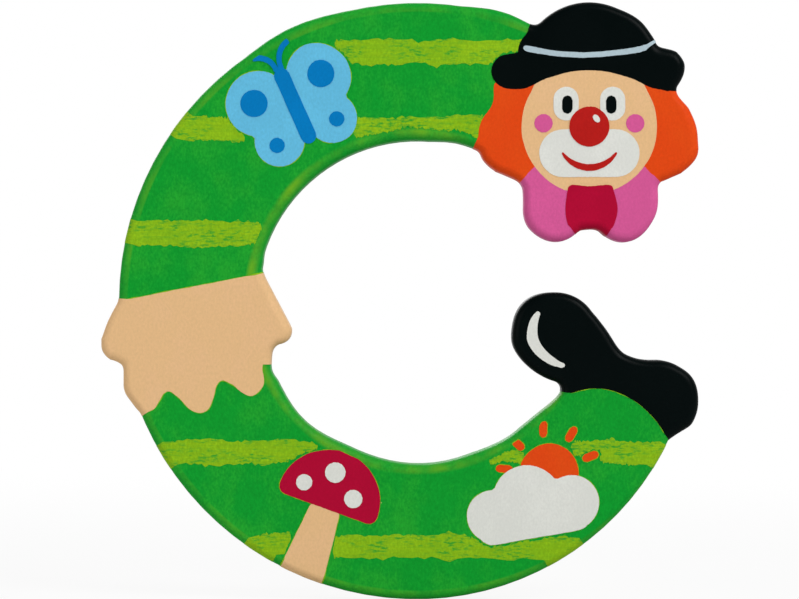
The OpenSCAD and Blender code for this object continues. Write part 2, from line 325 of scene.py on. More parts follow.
# %% [markdown]
# ## Coats that cover the letter
# On the real letter the paint runs over the rounded edge and down the side, and the back stays bare. So the
# skin of the board, without its back, is copied for each coat, moved out to the coat's level and given the
# thickness of a coat. The ground coat reaches a little further back than the green that lies on it.

# %% Ground coat and green coat
SIDE_END_Y = BACK_Y - EDGE_R
GROUND_REACH = 0.3 * MM


def thicken(film, level):
    """Moves a film out to its level and gives it the thickness of a coat."""
    if level:
        apply_modifier(film, "DISPLACE", strength=level * COAT_T, mid_level=0)
    apply_modifier(film, "SOLIDIFY", thickness=COAT_T, offset=1)


def whole_coat(name, level, reach):
    """A coat over the front, the round-over and the side of the whole letter."""
    coat = duplicate(board, name)
    edit(coat, "polygons", lambda face: face.center.y > SIDE_END_Y + reach)
    bpy.ops.mesh.delete(type="FACE")
    leave_edit()
    thicken(coat, level)
    return coat


films = {
    "ground_coat": whole_coat("ground_paint", 0, GROUND_REACH),
    "green_coat": whole_coat("green_paint", 1, 0),
}
print("faces of the green coat:", len(films["green_coat"].data.polygons))

# %% [markdown]
# ## Fields of colour
# A field starts from the outline of its CAD coat. Masked edges are never quite true, so the outline wanders
# a little and has fine teeth where paint creeps along the upright grain. Where the field ends at the edge of
# the flat, its points snap to the board's own points there, and a strip of the board's rim is joined on, so
# that the colour runs over the round-over and down the side in one piece.

# %% Helpers: outlines that wander or are nudged
NOISE_SEED = 5
TOOTH_ACROSS = 1.9
TOOTH_UPWARDS = 0.3
TOOTH_FADE = 0.4
TOOTH_FINER = 2.4
TOOTH_OCTAVES = 4
noise.seed_set(NOISE_SEED)


def wander(outline, slow, teeth, seed, keep, pace):
    """Moves an outline about as a hand does, with fine teeth along the upright grain."""
    for vertex in outline.data.vertices:
        if vertex.index in keep:
            continue
        at = Vector((vertex.co.x, 0, vertex.co.z)) / MM + Vector((0, seed, 0))
        drift = noise.noise_vector(at * pace)
        stretched = Vector((at.x * TOOTH_ACROSS, seed, at.z * TOOTH_UPWARDS))
        tooth = noise.fractal(stretched, TOOTH_FADE, TOOTH_FINER, TOOTH_OCTAVES)
        vertex.co.x += slow * drift.x
        vertex.co.z += slow * drift.z + teeth * tooth


def nudge(outline, at, by, reach):
    """Pulls an outline by a distance at one place, with a soft falloff over a reach across and upwards."""
    for vertex in outline.data.vertices:
        across = (vertex.co.x / MM - at[0]) / reach[0]
        if abs(across) < 1:
            upwards = (vertex.co.z / MM - at[1]) / reach[1]
            pull = max(0.0, 1 - across ** 2 - upwards ** 2) ** 2
            vertex.co.x += by[0] * MM * pull
            vertex.co.z += by[1] * MM * pull


# %% Helpers: borders drawn anew
CURVE_STEPS = 24
HANDLE_PART = 6


def curve_through(marks):
    """Points close together on a smooth curve through some marks."""
    closed = marks[0] == marks[-1]
    lead_in = marks[-2] if closed else 2 * marks[0] - marks[1]
    lead_out = marks[1] if closed else 2 * marks[-1] - marks[-2]
    ends = [lead_in] + marks + [lead_out]
    points = []
    for before, start, end, after in zip(ends, ends[1:], ends[2:], ends[3:]):
        leave = start + (end - before) / HANDLE_PART
        arrive = end - (after - start) / HANDLE_PART
        points += interpolate_bezier(start, leave, arrive, end, CURVE_STEPS)
    return points


def along(points, share):
    """The point at a share of the length of a line of points."""
    lengths = [(end - start).length for start, end in zip(points, points[1:])]
    left = share * sum(lengths)
    for start, end, length in zip(points, points[1:], lengths):
        if left <= length and length:
            return start.lerp(end, left / length)
        left -= length
    return points[-1].copy()


def redraw(outline, marks, end_reach):
    """Lays an outline along a curve through marks, and gives back the moved points that keep off the edge.

    Marks that end where they start redraw the whole outline. Others redraw it from the point nearest to the
    first mark to the point nearest to the last, which both go to the flat's edge. Only points within a reach
    of the curve's ends may follow them there."""
    for vertex in outline.data.vertices:
        vertex.co.y = FRONT_Y
    loop = list(outline.data.polygons[0].vertices)
    corners = [outline.data.vertices[index].co.copy() for index in loop]
    marks = [Vector((across * MM, FRONT_Y, height * MM)) for across, height in marks]
    closed = marks[0] == marks[-1]
    first, last = (min(range(len(loop)), key=lambda place: (corners[place] - mark).length)
                   for mark in (marks[0], marks[-1]))
    if not closed:
        marks[0], marks[-1] = (flat_tree.find(corners[place])[0] for place in (first, last))
    curve = curve_through(marks)
    steps = (last - first) % len(loop) or len(loop)
    moved = {loop[(first + step) % len(loop)]: along(curve, step / steps) for step in range(steps + 1)}
    for index, point in moved.items():
        outline.data.vertices[index].co = point
    return {index for index, point in moved.items()
            if min((point - marks[0]).length, (point - marks[-1]).length) > end_reach * MM}


# %% Helpers: outlines that reach the edge
SNAP_ROOM = 0.2 * MM
EDGE_SLACK = SIDE_PAINT_T + SNAP_ROOM
GAP_PACE = 2
LONGEST_SNAP = 60
LEVEL_SQUEEZE = 0.35


def keep_from_hollow(outline, gap, seed):
    """Draws an outline back from the hollow's edge by a ragged gap."""
    for vertex in outline.data.vertices:
        spoke = Vector((vertex.co.x - RING_X, 0, vertex.co.z))
        ragged = noise.noise(Vector((vertex.co.x, 0, vertex.co.z)) / MM * GAP_PACE + Vector((0, seed, 0)))
        least = FLAT_IN_R + gap * (1 + ragged)
        if spoke.length < least:
            spoke *= least / spoke.length
            vertex.co.x = RING_X + spoke.x
            vertex.co.z = spoke.z


def beside_hollow(point):
    """Whether a point lies nearer to the hollow than to the ring's outer edge."""
    return math.hypot(point.x - RING_X, point.z) < HOLLOW_R + STROKE_W / 2


def between(first, second):
    """The places along the flat's edge from one to another, the short way round, if that is not too long."""
    steps = (second - first) % len(flat_points)
    if steps > len(flat_points) / 2:
        first, steps = second, len(flat_points) - steps
    if steps > LONGEST_SNAP:
        return []
    return [(first + step) % len(flat_points) for step in range(steps + 1)]


def squeezed(point):
    """A point of the flat with its place across the letter made to count for less."""
    return Vector((LEVEL_SQUEEZE * point.x, FRONT_Y, point.z))


level_tree = tree_of([squeezed(point) for point in flat_points])


def snap_to_flat_edge(outline, slack, level_move, skip):
    """Snaps an outline to the flat's edge where it comes near, and says which points and places those are."""
    place_of = {}
    for vertex in outline.data.vertices:
        vertex.co.y = FRONT_Y
        place, away = flat_tree.find(vertex.co)[1:]
        if away < slack and vertex.index not in skip:
            if level_move:
                place = level_tree.find(squeezed(vertex.co))[1]
            vertex.co = flat_points[place]
            place_of[vertex.index] = place
    places = set()
    for face in outline.data.polygons:
        loop = list(face.vertices)
        for first, second in zip(loop, loop[1:] + loop[:1]):
            if first in place_of and second in place_of:
                places.update(between(place_of[first], place_of[second]))
    return place_of, places


# %% Helpers: strips of the rim
def flat_place(vertex):
    """The place along the flat's edge that lies beside a point of the board."""
    place = rim_tree.find((vertex.co.x, 0, vertex.co.z))[1]
    inside = rim_points[place] - (EDGE_R + SIDE_PAINT_T) * rim_normals[place]
    return flat_tree.find((inside.x, FRONT_Y, inside.z))[1]


board_places = [flat_place(vertex) for vertex in board.data.vertices]


def rim_strip(places, name):
    """The part of the board's round-over and side that lies beside some places of the flat's edge."""
    strip = duplicate(board, name)
    edit(strip, "polygons", lambda face: on_front(face) or face.center.y > SIDE_END_Y
         or not all(board_places[index] in places for index in face.vertices))
    bpy.ops.mesh.delete(type="FACE")
    leave_edit()
    return strip


def join(piece, other):
    """Joins another piece into a piece."""
    pick(piece)
    other.select_set(True)
    bpy.ops.object.join()


# %% Helper: a field
FILM_STEP = 0.3 * MM
FIELD_DRIFT = 0.07 * MM
FIELD_TEETH = 0.04 * MM
FIELD_PACE = 0.4


def field(node, name, level, slow=FIELD_DRIFT, teeth=FIELD_TEETH, pace=FIELD_PACE, wider=0.0, slack=0.0,
          seed=0.0, inner_gap=0.0):
    """A film with the outline of a CAD coat, which runs over the edge where it comes within the slack."""
    film = front_outline(node, name)
    round_facets(film, longest=FILM_STEP)
    for at, by, spread in NUDGES.get(node, ()):
        nudge(film, at, by, spread)
    off_edge = redraw(film, *BORDERS[node]) if node in BORDERS else set()
    if inner_gap:
        off_edge = {vertex.index for vertex in film.data.vertices if beside_hollow(vertex.co)}
    if wider:
        grow(film, wider)
    place_of, places = snap_to_flat_edge(film, slack, level_move=inner_gap > 0, skip=off_edge)
    wander(film, slow, teeth, seed, keep=place_of, pace=pace)
    if inner_gap:
        keep_from_hollow(film, inner_gap, seed)
    if places:
        join(film, rim_strip(places, name + "_rim"))
    edit(film, "vertices", everything)
    bpy.ops.mesh.remove_doubles(threshold=MERGE_DISTANCE)
    leave_edit()
    thicken(film, level)
    return film


# %% [markdown]
# Some painted borders differ from the plain shapes of the frame. The brim curves up over the forehead and
# droops on both sides of it, and the hair has a waist. A soft nudge does for each: a place, a distance and
# the reach of its falloff, across and upwards, all in millimetres. The hat band is a thin bow of even width,
# the knot is a barrel, and the fingers lean, so their borders are drawn anew as smooth curves through marks
# at their turns. Each border also says how near to its ends its points may snap to the flat's edge.

# %% Nudges and borders, in millimetres
BRIM_LIFT = ((73.8, 40.0), (0.0, 2.1), (13.5, 3.4))
NUDGES = {
    "hat_coat": [
        BRIM_LIFT,
        ((63.0, 46.8), (-1.2, 0.0), (5.0, 5.5)),
        ((62.3, 39.4), (0.0, -0.5), (4.5, 3.5)),
        ((85.3, 39.4), (0.0, -0.5), (4.5, 3.5)),
    ],
    "face_coat": [BRIM_LIFT],
    "hair_coat": [
        BRIM_LIFT,
        ((56.5, 36.3), (0.7, 0.0), (4.0, 3.6)),
        ((55.0, 31.8), (-0.6, 0.0), (4.0, 4.2)),
    ],
}
SNAP_REACH = 0.5
KNOT_SNAP_REACH = 4.2
BAND_W = 1.0
BAND_END = (84.2, 46.05)
BAND_LINE = [
    (62.2, 46.4), (65.8, 45.75), (69.0, 45.35), (72.2, 45.2), (75.0, 45.25), (77.7, 45.5), (81.0, 45.8),
    (83.9, 46.0),
]
band_under = [(across, height - BAND_W / 2) for across, height in BAND_LINE]
band_over = [(across, height + BAND_W / 2) for across, height in reversed(BAND_LINE)]
BORDERS = {
    "hand_coat": ([
        (-7.3, -20.3), (-6.0, -19.7), (-5.0, -18.2), (-4.3, -17.0), (-3.2, -16.6), (-1.6, -17.7),
        (0.4, -19.7), (2.3, -20.5), (3.9, -19.8), (4.8, -17.8), (5.4, -15.5), (6.5, -14.6), (8.4, -15.4),
        (10.0, -16.7), (11.6, -17.4), (13.0, -16.8), (14.0, -15.4), (14.1, -14.0), (13.9, -12.6),
        (14.2, -11.2),
    ], SNAP_REACH),
    "hat_band": ([BAND_END] + band_over + band_under + [BAND_END], SNAP_REACH),
    "bow_knot": ([
        (73.8, 14.94), (74.8, 14.94), (75.8, 14.8), (76.8, 14.35), (77.8, 13.65), (78.6, 15.0), (79.0, 17.2),
        (78.4, 20.0), (77.6, 21.3), (74.0, 21.1), (70.5, 21.3), (69.8, 20.0), (69.45, 17.0), (69.7, 15.0),
        (70.3, 13.9), (70.9, 14.3), (71.6, 14.7), (72.8, 14.94), (73.8, 14.94),
    ], KNOT_SNAP_REACH),
}
print("nudged:", ", ".join(NUDGES), "and drawn anew:", ", ".join(BORDERS))

# %% Fields on the green, with the head's fields lapping over each other
FIELD_LEVELS = {
    "hand_coat": 2.2, "shoe_coat": 2.2, "cloud_coat": 2.4, "sun_coat": 2.2, "toadstool_stem": 2.2,
    "toadstool_cap": 2.4, "butterfly_wings": 2.2, "hair_coat": 2.1, "bow_coat": 2.2, "face_coat": 2.35,
    "hat_coat": 2.5,
}
LAPS = {"hair_coat": 0.35 * MM, "bow_coat": 0.3 * MM, "face_coat": 0.25 * MM}
RUN_OFF = ("hand_coat", "shoe_coat", "hat_coat", "hat_band", "hair_coat", "bow_coat", "bow_knot",
           "toadstool_stem")


def slack_of(node, lap=0.0):
    """How near to the flat's edge a film has to come to run over it, or nought where it never does."""
    return EDGE_SLACK + lap if node in RUN_OFF else 0.0


for node, level in FIELD_LEVELS.items():
    name = node.replace("_coat", "") + "_paint"
    lap = LAPS.get(node, 0.0)
    films[node] = field(node, name, level, wider=lap, slack=slack_of(node, lap))
    print(name, len(films[node].data.polygons), "faces")

# %% [markdown]
# Where the masks did not meet, a thin line of the lime ground shows round a field. Each line is the rim of a
# film that is a little wider than the field, wanders by itself and lies under it. These films are part of the
# ground.

# %% Thin lines of ground round the fields
FRINGE_LEVEL = 1.7
FRINGE_W = 0.1 * MM
FRINGE_DRIFT = 0.12 * MM
FRINGE_SEED = 9.3
FRINGED = ("hand_coat", "shoe_coat", "cloud_coat", "sun_coat", "toadstool_stem", "toadstool_cap",
           "butterfly_wings")
for node in FRINGED:
    fringe = field(node, node + "_fringe", FRINGE_LEVEL, slow=FRINGE_DRIFT, wider=FRINGE_W,
                   slack=slack_of(node, FRINGE_W), seed=FRINGE_SEED)
    join(films["ground_coat"], fringe)
print("ground with its fringes:", len(films["ground_coat"].data.polygons), "faces")

# %% [markdown]
# ## Details on the fields
# The small details are brushed or printed on top of the fields, in up to three more coats.

# %% The details
DETAIL_DRIFT = 0.05 * MM
DETAIL_LEVELS = {
    "hat_band": 3.6, "muzzle_coat": 3.45, "eye_patch_left": 3.6, "eye_patch_right": 3.6, "cheek_left": 3.5,
    "cheek_right": 3.5, "bow_knot": 3.3, "shoe_glint": 3.3, "butterfly_spots": 3.3, "butterfly_body": 3.3,
    "toadstool_spots": 3.5, "eye_left": 4.6, "eye_right": 4.6, "smile_coat": 4.5, "nose_coat": 4.7,
    "nose_glint": 5.8,
}
for node, level in DETAIL_LEVELS.items():
    name = node.replace("_coat", "") + "_paint"
    films[node] = field(node, name, level, slow=DETAIL_DRIFT, slack=slack_of(node))
print(len(DETAIL_LEVELS), "details")

# %% [markdown]
# ## Stripes
# The stripes are drawn across the green with a stiff, nearly dry brush. Their long edges swing up and down,
# with bristly teeth. Their ends reach over the letter's outer edge but stop short of the hollow. The same
# outlines serve, with more and slower wander and with a longer reach to the edge.

# %% Dry-brushed stripes
STRIPE_LEVEL = 1.6
STRIPE_SLACK = 1.3 * MM
STRIPE_GAP = 0.3 * MM
STRIPE_DRIFT = 0.75 * MM
STRIPE_TEETH = 0.42 * MM
STRIPE_PACE = 0.2
STRIPE_SEED = 3.7
STRIPE_COUNT = 5
for number in range(1, STRIPE_COUNT + 1):
    node = "stripe_%d" % number
    films[node] = field(
        node, node + "_paint", STRIPE_LEVEL, slow=STRIPE_DRIFT, teeth=STRIPE_TEETH, pace=STRIPE_PACE,
        slack=STRIPE_SLACK, seed=number * STRIPE_SEED, inner_gap=STRIPE_GAP)
    print(node, len(films[node].data.polygons), "faces")

# %% [markdown]
# ## The outline as it was cut
# The frame draws the outline from few sizes, and the real one departs from it by up to two millimetres: the
# hair has a waist, the brim turns up, and the hollow reaches further in behind the shoe. The board and its
# films are finished now, so the same soft nudges move all of them at once and the paint keeps to its edges.
# The shading comes last, because it follows the moved faces. Weighted normals, and plain ones on the flats,
# keep the shading of the round-over off the flats.

# %% Last nudges to board and films
OUTLINE_NUDGES = {
    "hollow behind the shoe": ((66.3, -15.3), (1.9, -0.6), (14.0, 9.0)),
    "hollow, lower right": ((58.5, -23.8), (0.4, -0.5), (9.0, 8.0)),
    "hollow, lower left": ((22.0, -21.5), (-0.45, -0.5), (10.0, 9.0)),
    "hollow, bottom": ((44.0, -29.2), (0.0, -0.45), (16.0, 7.0)),
    "hollow, upper right": ((50.5, 28.5), (0.1, 0.5), (7.0, 4.0)),
    "hollow over the hand": ((13.4, 6.5), (0.3, -0.3), (3.0, 3.0)),
    "heel": ((62.5, -0.4), (-0.35, 0.35), (6.0, 6.0)),
    "instep": ((76.5, -6.3), (0.7, 0.7), (6.0, 5.0)),
    "toe": ((92.3, -15.2), (0.15, 0.3), (4.0, 4.0)),
    "sole": ((90.0, -24.3), (-0.3, 0.6), (3.6, 3.4)),
    "brim, upper edge": ((87.8, 45.6), (0.0, 1.1), (6.0, 4.0)),
    "brim, lower edge": ((91.0, 39.6), (-1.1, -0.8), (5.0, 4.5)),
    "crown": ((83.5, 50.0), (0.5, 0.4), (6.0, 7.0)),
    "foot of the crown": ((85.0, 47.6), (0.2, 0.1), (3.0, 3.0)),
    "curls, right": ((93.0, 32.3), (0.65, 0.0), (4.5, 4.8)),
    "curls, lower right": ((91.5, 24.5), (-0.3, 0.6), (5.0, 4.0)),
    "curls, lower left": ((55.5, 23.8), (0.2, 0.95), (8.0, 6.0)),
    "bow, lower right": ((80.0, 11.8), (0.2, -0.5), (6.0, 5.0)),
    "bow, lower left": ((69.0, 12.3), (0.0, -0.5), (6.0, 5.0)),
    "bow, right": ((86.0, 19.0), (0.4, 0.0), (4.0, 5.0)),
    "bow, left": ((61.2, 18.5), (0.4, 0.0), (4.0, 6.0)),
    "back of the hand": ((-13.6, -3.4), (-0.4, -0.25), (4.0, 4.5)),
    "thumb": ((-14.8, -9.2), (-0.3, -0.35), (2.4, 2.0)),
    "thumb, underside": ((-12.6, -9.8), (-0.4, -1.1), (3.2, 3.2)),
    "first finger": ((15.8, -11.2), (-0.4, 0.0), (3.0, 4.0)),
    "last finger": ((-10.6, -18.9), (0.7, 0.6), (3.6, 3.6)),
    "ring, upper right": ((57.5, 52.5), (0.2, 0.6), (9.0, 5.0)),
    "ring, upper left": ((19.5, 50.0), (-0.35, 0.45), (14.0, 8.0)),
}
for piece in (board, *films.values()):
    for at, by, spread in OUTLINE_NUDGES.values():
        nudge(piece, at, by, spread)
print(len(OUTLINE_NUDGES), "nudges to", 1 + len(films), "pieces")

# %% Shading of board and films
SMOOTH_ANGLE = math.radians(40)


def smooth(piece):
    """Shades a piece smooth, with true flats beside its rounded edges."""
    pick(piece)
    bpy.ops.object.shade_smooth_by_angle(angle=SMOOTH_ANGLE)
    apply_modifier(piece, "WEIGHTED_NORMAL", keep_sharp=True)
    normals = [corner.vector.copy() for corner in piece.data.corner_normals]
    for face in piece.data.polygons:
        if abs(face.normal.y) > FLAT_NORMAL:
            for corner in face.loop_indices:
                normals[corner] = face.normal.copy()
    piece.data.normals_split_custom_set(normals)


for piece in (board, *films.values()):
    smooth(piece)
print("shaded", 1 + len(films), "pieces")

# %% [markdown]
# ## Foam tape on the back
# Strips of double-sided foam tape hold such letters to a door. A strip is a soft foam core between two thin
# films of adhesive, and the knife leaves the core a little narrower than its films. Each strip starts from
# the outline of its CAD block and is extruded film by film.

# %% The three strips of tape
TAPE_FILM_T = 0.1 * MM
CORE_INSET = 0.12 * MM
CORNER_R = 0.6 * MM
CORNER_SEGMENTS = 4


def tape_strip(node):
    """A strip of foam tape in the place of its CAD block."""
    low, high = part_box(node)
    strip = front_outline(node, node + "_strip")
    edit(strip, "vertices", everything)
    bpy.ops.mesh.bevel(offset=CORNER_R, segments=CORNER_SEGMENTS, affect="VERTICES")
    bpy.ops.mesh.select_all(action="SELECT")
    extrude_back(TAPE_FILM_T)
    bpy.ops.mesh.inset(thickness=CORE_INSET)
    extrude_back(high.y - low.y - 2 * TAPE_FILM_T)
    bpy.ops.mesh.inset(thickness=CORE_INSET, use_outset=True)
    extrude_back(TAPE_FILM_T)
    bpy.ops.mesh.select_all(action="SELECT")
    bpy.ops.mesh.normals_make_consistent(inside=False)
    leave_edit()
    smooth(strip)
    return strip


tapes = {node: tape_strip(node) for node in ("tape_top", "tape_spine", "tape_bottom")}
for node, strip in tapes.items():
    print(node, len(strip.data.polygons), "faces")

# %% [markdown]
# ## Finishes
# All paints on the letter are the same kind of satin acrylic on sanded wood: the upright grain shows through
# as fine streaks, the colour is a little blotchy, and a few specks of dust are caught in it. That is one node
# group, which each paint places with its own colours and amounts. It reads Object coordinates, so nothing
# slides.

# %% Helpers: node trees
MIX_AMOUNT = 0
MIX_FIRST = 6
MIX_SECOND = 7
MIX_RESULT = 2
NOISE_ROUGHNESS = 0.6


def add_node(tree, kind, **settings):
    """A node of a kind, with its settings and the values of its inputs."""
    new = tree.nodes.new("ShaderNode" + kind)
    for name, value in settings.items():
        if name in new.inputs:
            new.inputs[name].default_value = value
        else:
            setattr(new, name, value)
    return new


def math_node(tree, operation, first, second, third=None):
    """A Math node whose inputs are sockets or numbers, given back as its output socket."""
    new = add_node(tree, "Math", operation=operation)
    for place, value in enumerate((first, second, third)):
        if isinstance(value, bpy.types.NodeSocket):
            tree.links.new(value, new.inputs[place])
        elif value is not None:
            new.inputs[place].default_value = value
    return new.outputs[0]


def mix_colours(tree, amount, first, second):
    """Mixes two colours, each a socket or a colour, and gives back the output socket."""
    new = add_node(tree, "Mix", data_type="RGBA")
    for place, value in ((MIX_AMOUNT, amount), (MIX_FIRST, first), (MIX_SECOND, second)):
        if isinstance(value, bpy.types.NodeSocket):
            tree.links.new(value, new.inputs[place])
        else:
            new.inputs[place].default_value = value
    return new.outputs[MIX_RESULT]


def object_noise(tree, scale, detail=3.0):
    """Noise with its own scale for each axis, on Object coordinates."""
    place = add_node(tree, "TexCoord")
    stretch = add_node(tree, "Mapping", Scale=scale)
    texture = add_node(tree, "TexNoise", Scale=1.0, Detail=detail, Roughness=NOISE_ROUGHNESS)
    tree.links.new(place.outputs["Object"], stretch.inputs["Vector"])
    tree.links.new(stretch.outputs["Vector"], texture.inputs["Vector"])
    return texture.outputs["Fac"]


def ramp(tree, value, low, high):
    """A soft step from nought at one value to one at another."""
    step = add_node(tree, "MapRange", interpolation_type="SMOOTHSTEP")
    tree.links.new(value, step.inputs["Value"])
    step.inputs["From Min"].default_value = low
    step.inputs["From Max"].default_value = high
    return step.outputs["Result"]


def new_group(name, inputs, outputs):
    """A shader node group with named sockets, and its input and output nodes."""
    tree = bpy.data.node_groups.new(name, "ShaderNodeTree")
    for side, sockets in (("INPUT", inputs), ("OUTPUT", outputs)):
        for label, kind in sockets.items():
            tree.interface.new_socket(name=label, in_out=side, socket_type="NodeSocket" + kind)
    return tree, tree.nodes.new("NodeGroupInput"), tree.nodes.new("NodeGroupOutput")


def grey(value):
    """A grey as a colour."""
    return (value, value, value, 1.0)


# %% Shared finish: grain and blotches of paint on wood
GRAIN_SCALE = (2600, 2600, 1700)
BLOTCH_SCALE = (150, 150, 110)
BLOTCH_RAMP = (0.40, 0.72)
NOISE_MIDDLE = 0.5
GRAIN_IN_BLOTCHES = 0.4

paint_group, given, result = new_group(
    "paint_on_wood",
    {"Colour": "Color", "Blotch Colour": "Color", "Speck Colour": "Color", "Blotches": "Float",
     "Grain": "Float", "Roughness": "Float"},
    {"Colour": "Color", "Roughness": "Float", "Height": "Float"})
grain = object_noise(paint_group, GRAIN_SCALE)
blotch = object_noise(paint_group, BLOTCH_SCALE)
swing = math_node(paint_group, "SUBTRACT", grain, NOISE_MIDDLE)
mottle = math_node(paint_group, "MULTIPLY_ADD", swing, GRAIN_IN_BLOTCHES, blotch)
patches = ramp(paint_group, mottle, *BLOTCH_RAMP)
blotch_mask = math_node(paint_group, "MULTIPLY", patches, given.outputs["Blotches"])
blotched = mix_colours(paint_group, blotch_mask, given.outputs["Colour"], given.outputs["Blotch Colour"])
brightness = math_node(paint_group, "MULTIPLY_ADD", swing, given.outputs["Grain"], 1.0)
shaded = add_node(paint_group, "HueSaturation")
paint_group.links.new(brightness, shaded.inputs["Value"])
paint_group.links.new(blotched, shaded.inputs["Color"])
print("grain and blotches:", len(paint_group.nodes), "nodes")

# %% Shared finish: its specks, dullness and relief
TOOTH_SCALE = (6000, 6000, 6000)
TOOTH_DETAIL = 1.0
TOOTH_RELIEF = 0.4
SPECK_CELLS = 95
SPECK_SIZE = 0.011
DULL_SWING = 0.25

cells = add_node(paint_group, "TexVoronoi", Scale=SPECK_CELLS)
cell_place = add_node(paint_group, "TexCoord")
paint_group.links.new(cell_place.outputs["Object"], cells.inputs["Vector"])
speck = math_node(paint_group, "LESS_THAN", cells.outputs["Distance"], SPECK_SIZE)
specked = mix_colours(paint_group, speck, shaded.outputs["Color"], given.outputs["Speck Colour"])
blotch_swing = math_node(paint_group, "SUBTRACT", blotch, NOISE_MIDDLE)
dull = math_node(paint_group, "MULTIPLY_ADD", blotch_swing, DULL_SWING, given.outputs["Roughness"])
tooth = object_noise(paint_group, TOOTH_SCALE, detail=TOOTH_DETAIL)
relief = math_node(paint_group, "MULTIPLY_ADD", tooth, TOOTH_RELIEF, grain)
paint_group.links.new(specked, result.inputs["Colour"])
paint_group.links.new(dull, result.inputs["Roughness"])
paint_group.links.new(relief, result.inputs["Height"])
print("paint group:", len(paint_group.nodes), "nodes")

# %% Helpers: a paint
SATIN = 0.42
SHEEN = 0.04
BLOTCHES = 0.5
BLOTCH_FACTOR = 1.12
SPECK_FACTOR = 0.8
GRAIN = 0.25
BUMP_STRENGTH = 0.35
BUMP_DEPTH = 0.02 * MM


def rgb(red, green, blue):
    """A colour from its linear red, green and blue."""
    return (red, green, blue, 1.0)


def lighter(colour, factor):
    """A colour made lighter or darker by a factor."""
    return tuple(min(1.0, part * factor) for part in colour[:3]) + (1.0,)


def new_material(name):
    """An empty material with its node tree and its Principled shader."""
    material = bpy.data.materials.new(name)
    material.use_nodes = True
    return material, material.node_tree, material.node_tree.nodes["Principled BSDF"]


def paint(name, colour, blotch=None, speck=None, blotches=BLOTCHES, grain=GRAIN, roughness=SATIN):
    """A satin paint, given back with its tree, its shader and the socket of its colour."""
    material, tree, shader = new_material(name)
    film = tree.nodes.new("ShaderNodeGroup")
    film.node_tree = paint_group
    film.inputs["Colour"].default_value = colour
    film.inputs["Blotch Colour"].default_value = blotch or lighter(colour, BLOTCH_FACTOR)
    film.inputs["Speck Colour"].default_value = speck or lighter(colour, SPECK_FACTOR)
    film.inputs["Blotches"].default_value = blotches
    film.inputs["Grain"].default_value = grain
    film.inputs["Roughness"].default_value = roughness
    bump = add_node(tree, "Bump", Strength=BUMP_STRENGTH, Distance=BUMP_DEPTH)
    tree.links.new(film.outputs["Colour"], shader.inputs["Base Color"])
    tree.links.new(film.outputs["Roughness"], shader.inputs["Roughness"])
    tree.links.new(film.outputs["Height"], bump.inputs["Height"])
    tree.links.new(bump.outputs["Normal"], shader.inputs["Normal"])
    shader.inputs["Specular IOR Level"].default_value = SHEEN
    return material, tree, shader, film.outputs["Colour"]


# %% Plain paints
PLAIN_PAINTS = {
    "skin_paint": {"colour": rgb(0.721, 0.455, 0.227), "blotch": rgb(0.74, 0.46, 0.25)},
    "white_paint": {"colour": rgb(0.66, 0.667, 0.625), "grain": 0.18},
    "orange_paint": {"colour": rgb(0.700, 0.060, 0.006), "blotch": rgb(0.71, 0.078, 0.007)},
    "red_paint": {"colour": rgb(0.425, 0.011, 0.009)},
    "black_paint": {"colour": rgb(0.001, 0.003, 0.003), "speck": grey(0.03), "roughness": 0.36},
    "pink_paint": {"colour": rgb(0.605, 0.092, 0.277)},
    "crimson_paint": {"colour": rgb(0.395, 0.0025, 0.030)},
    "light_blue_paint": {"colour": rgb(0.115, 0.45, 0.67), "grain": 0.3},
    "blue_paint": {"colour": rgb(0.0005, 0.172, 0.462)},
    "pale_paint": {"colour": rgb(0.395, 0.500, 0.550)},
}
paints = {name: paint(name, **values)[0] for name, values in PLAIN_PAINTS.items()}
print(len(paints), "plain paints")

# %% [markdown]
# ## Green and lime
# The green is not even: it is thin where the flat meets the round-over, so the lime ground glows through in
# patches along the hollow, and faintly along the outer edge. The ring is round, so the distance from its
# middle is enough to place that glow. The stripes are lime in long brush streaks, with green showing in
# clusters where the dry brush skipped.

# %% Green, thin at its edges
GREEN = rgb(0.004, 0.295, 0.025)
GREEN_BLOTCH = rgb(0.018, 0.345, 0.025)
GREEN_SPECK = rgb(0.35, 0.5, 0.15)
LIME = rgb(0.235, 0.445, 0.008)
GLOW_IN = 0.9 * MM
GLOW_IN_AMOUNT = 0.55
GLOW_OUT = 0.4 * MM
GLOW_OUT_AMOUNT = 0.22
PATCH_SCALE = (90, 90, 90)
PATCH_RAMP = (0.3, 0.7)
FLAT_OUT_R = RING_R - EDGE_R - SIDE_PAINT_T


